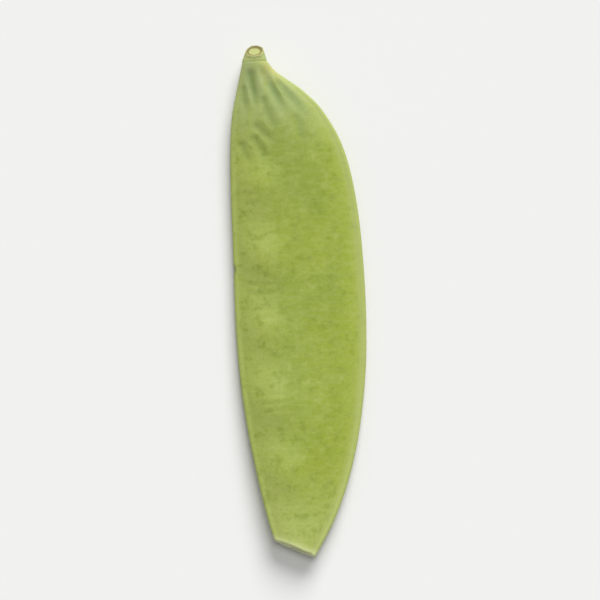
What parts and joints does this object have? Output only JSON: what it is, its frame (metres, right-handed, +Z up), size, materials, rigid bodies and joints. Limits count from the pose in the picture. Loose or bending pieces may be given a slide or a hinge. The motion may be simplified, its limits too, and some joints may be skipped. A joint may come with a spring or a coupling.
{
  "type": "snow pea pod",
  "caption": "Flat green snow pea pod, topped and tailed, lying on its side with ribbed seams, faint seed swellings and a cut stalk stub.",
  "frame": {"origin": "middle of the whole part's box in plan, on the surface that the pod lies on", "axes": "+Y along the pod towards its stem end, +X towards the bulging keel seam, +Z up from the surface through the pod's two flat valves"},
  "size_m": [0.0212, 0.083, 0.0049],
  "materials": {
    "pod_skin": "waxy green pod wall with a faint bloom and paler seams",
    "stalk": "olive stalk, dried brown at the cut rim"
  },
  "bodies": {
    "root": {"pod": "pod_skin", "stem_stub": "stalk"}
  },
  "joints": []
}
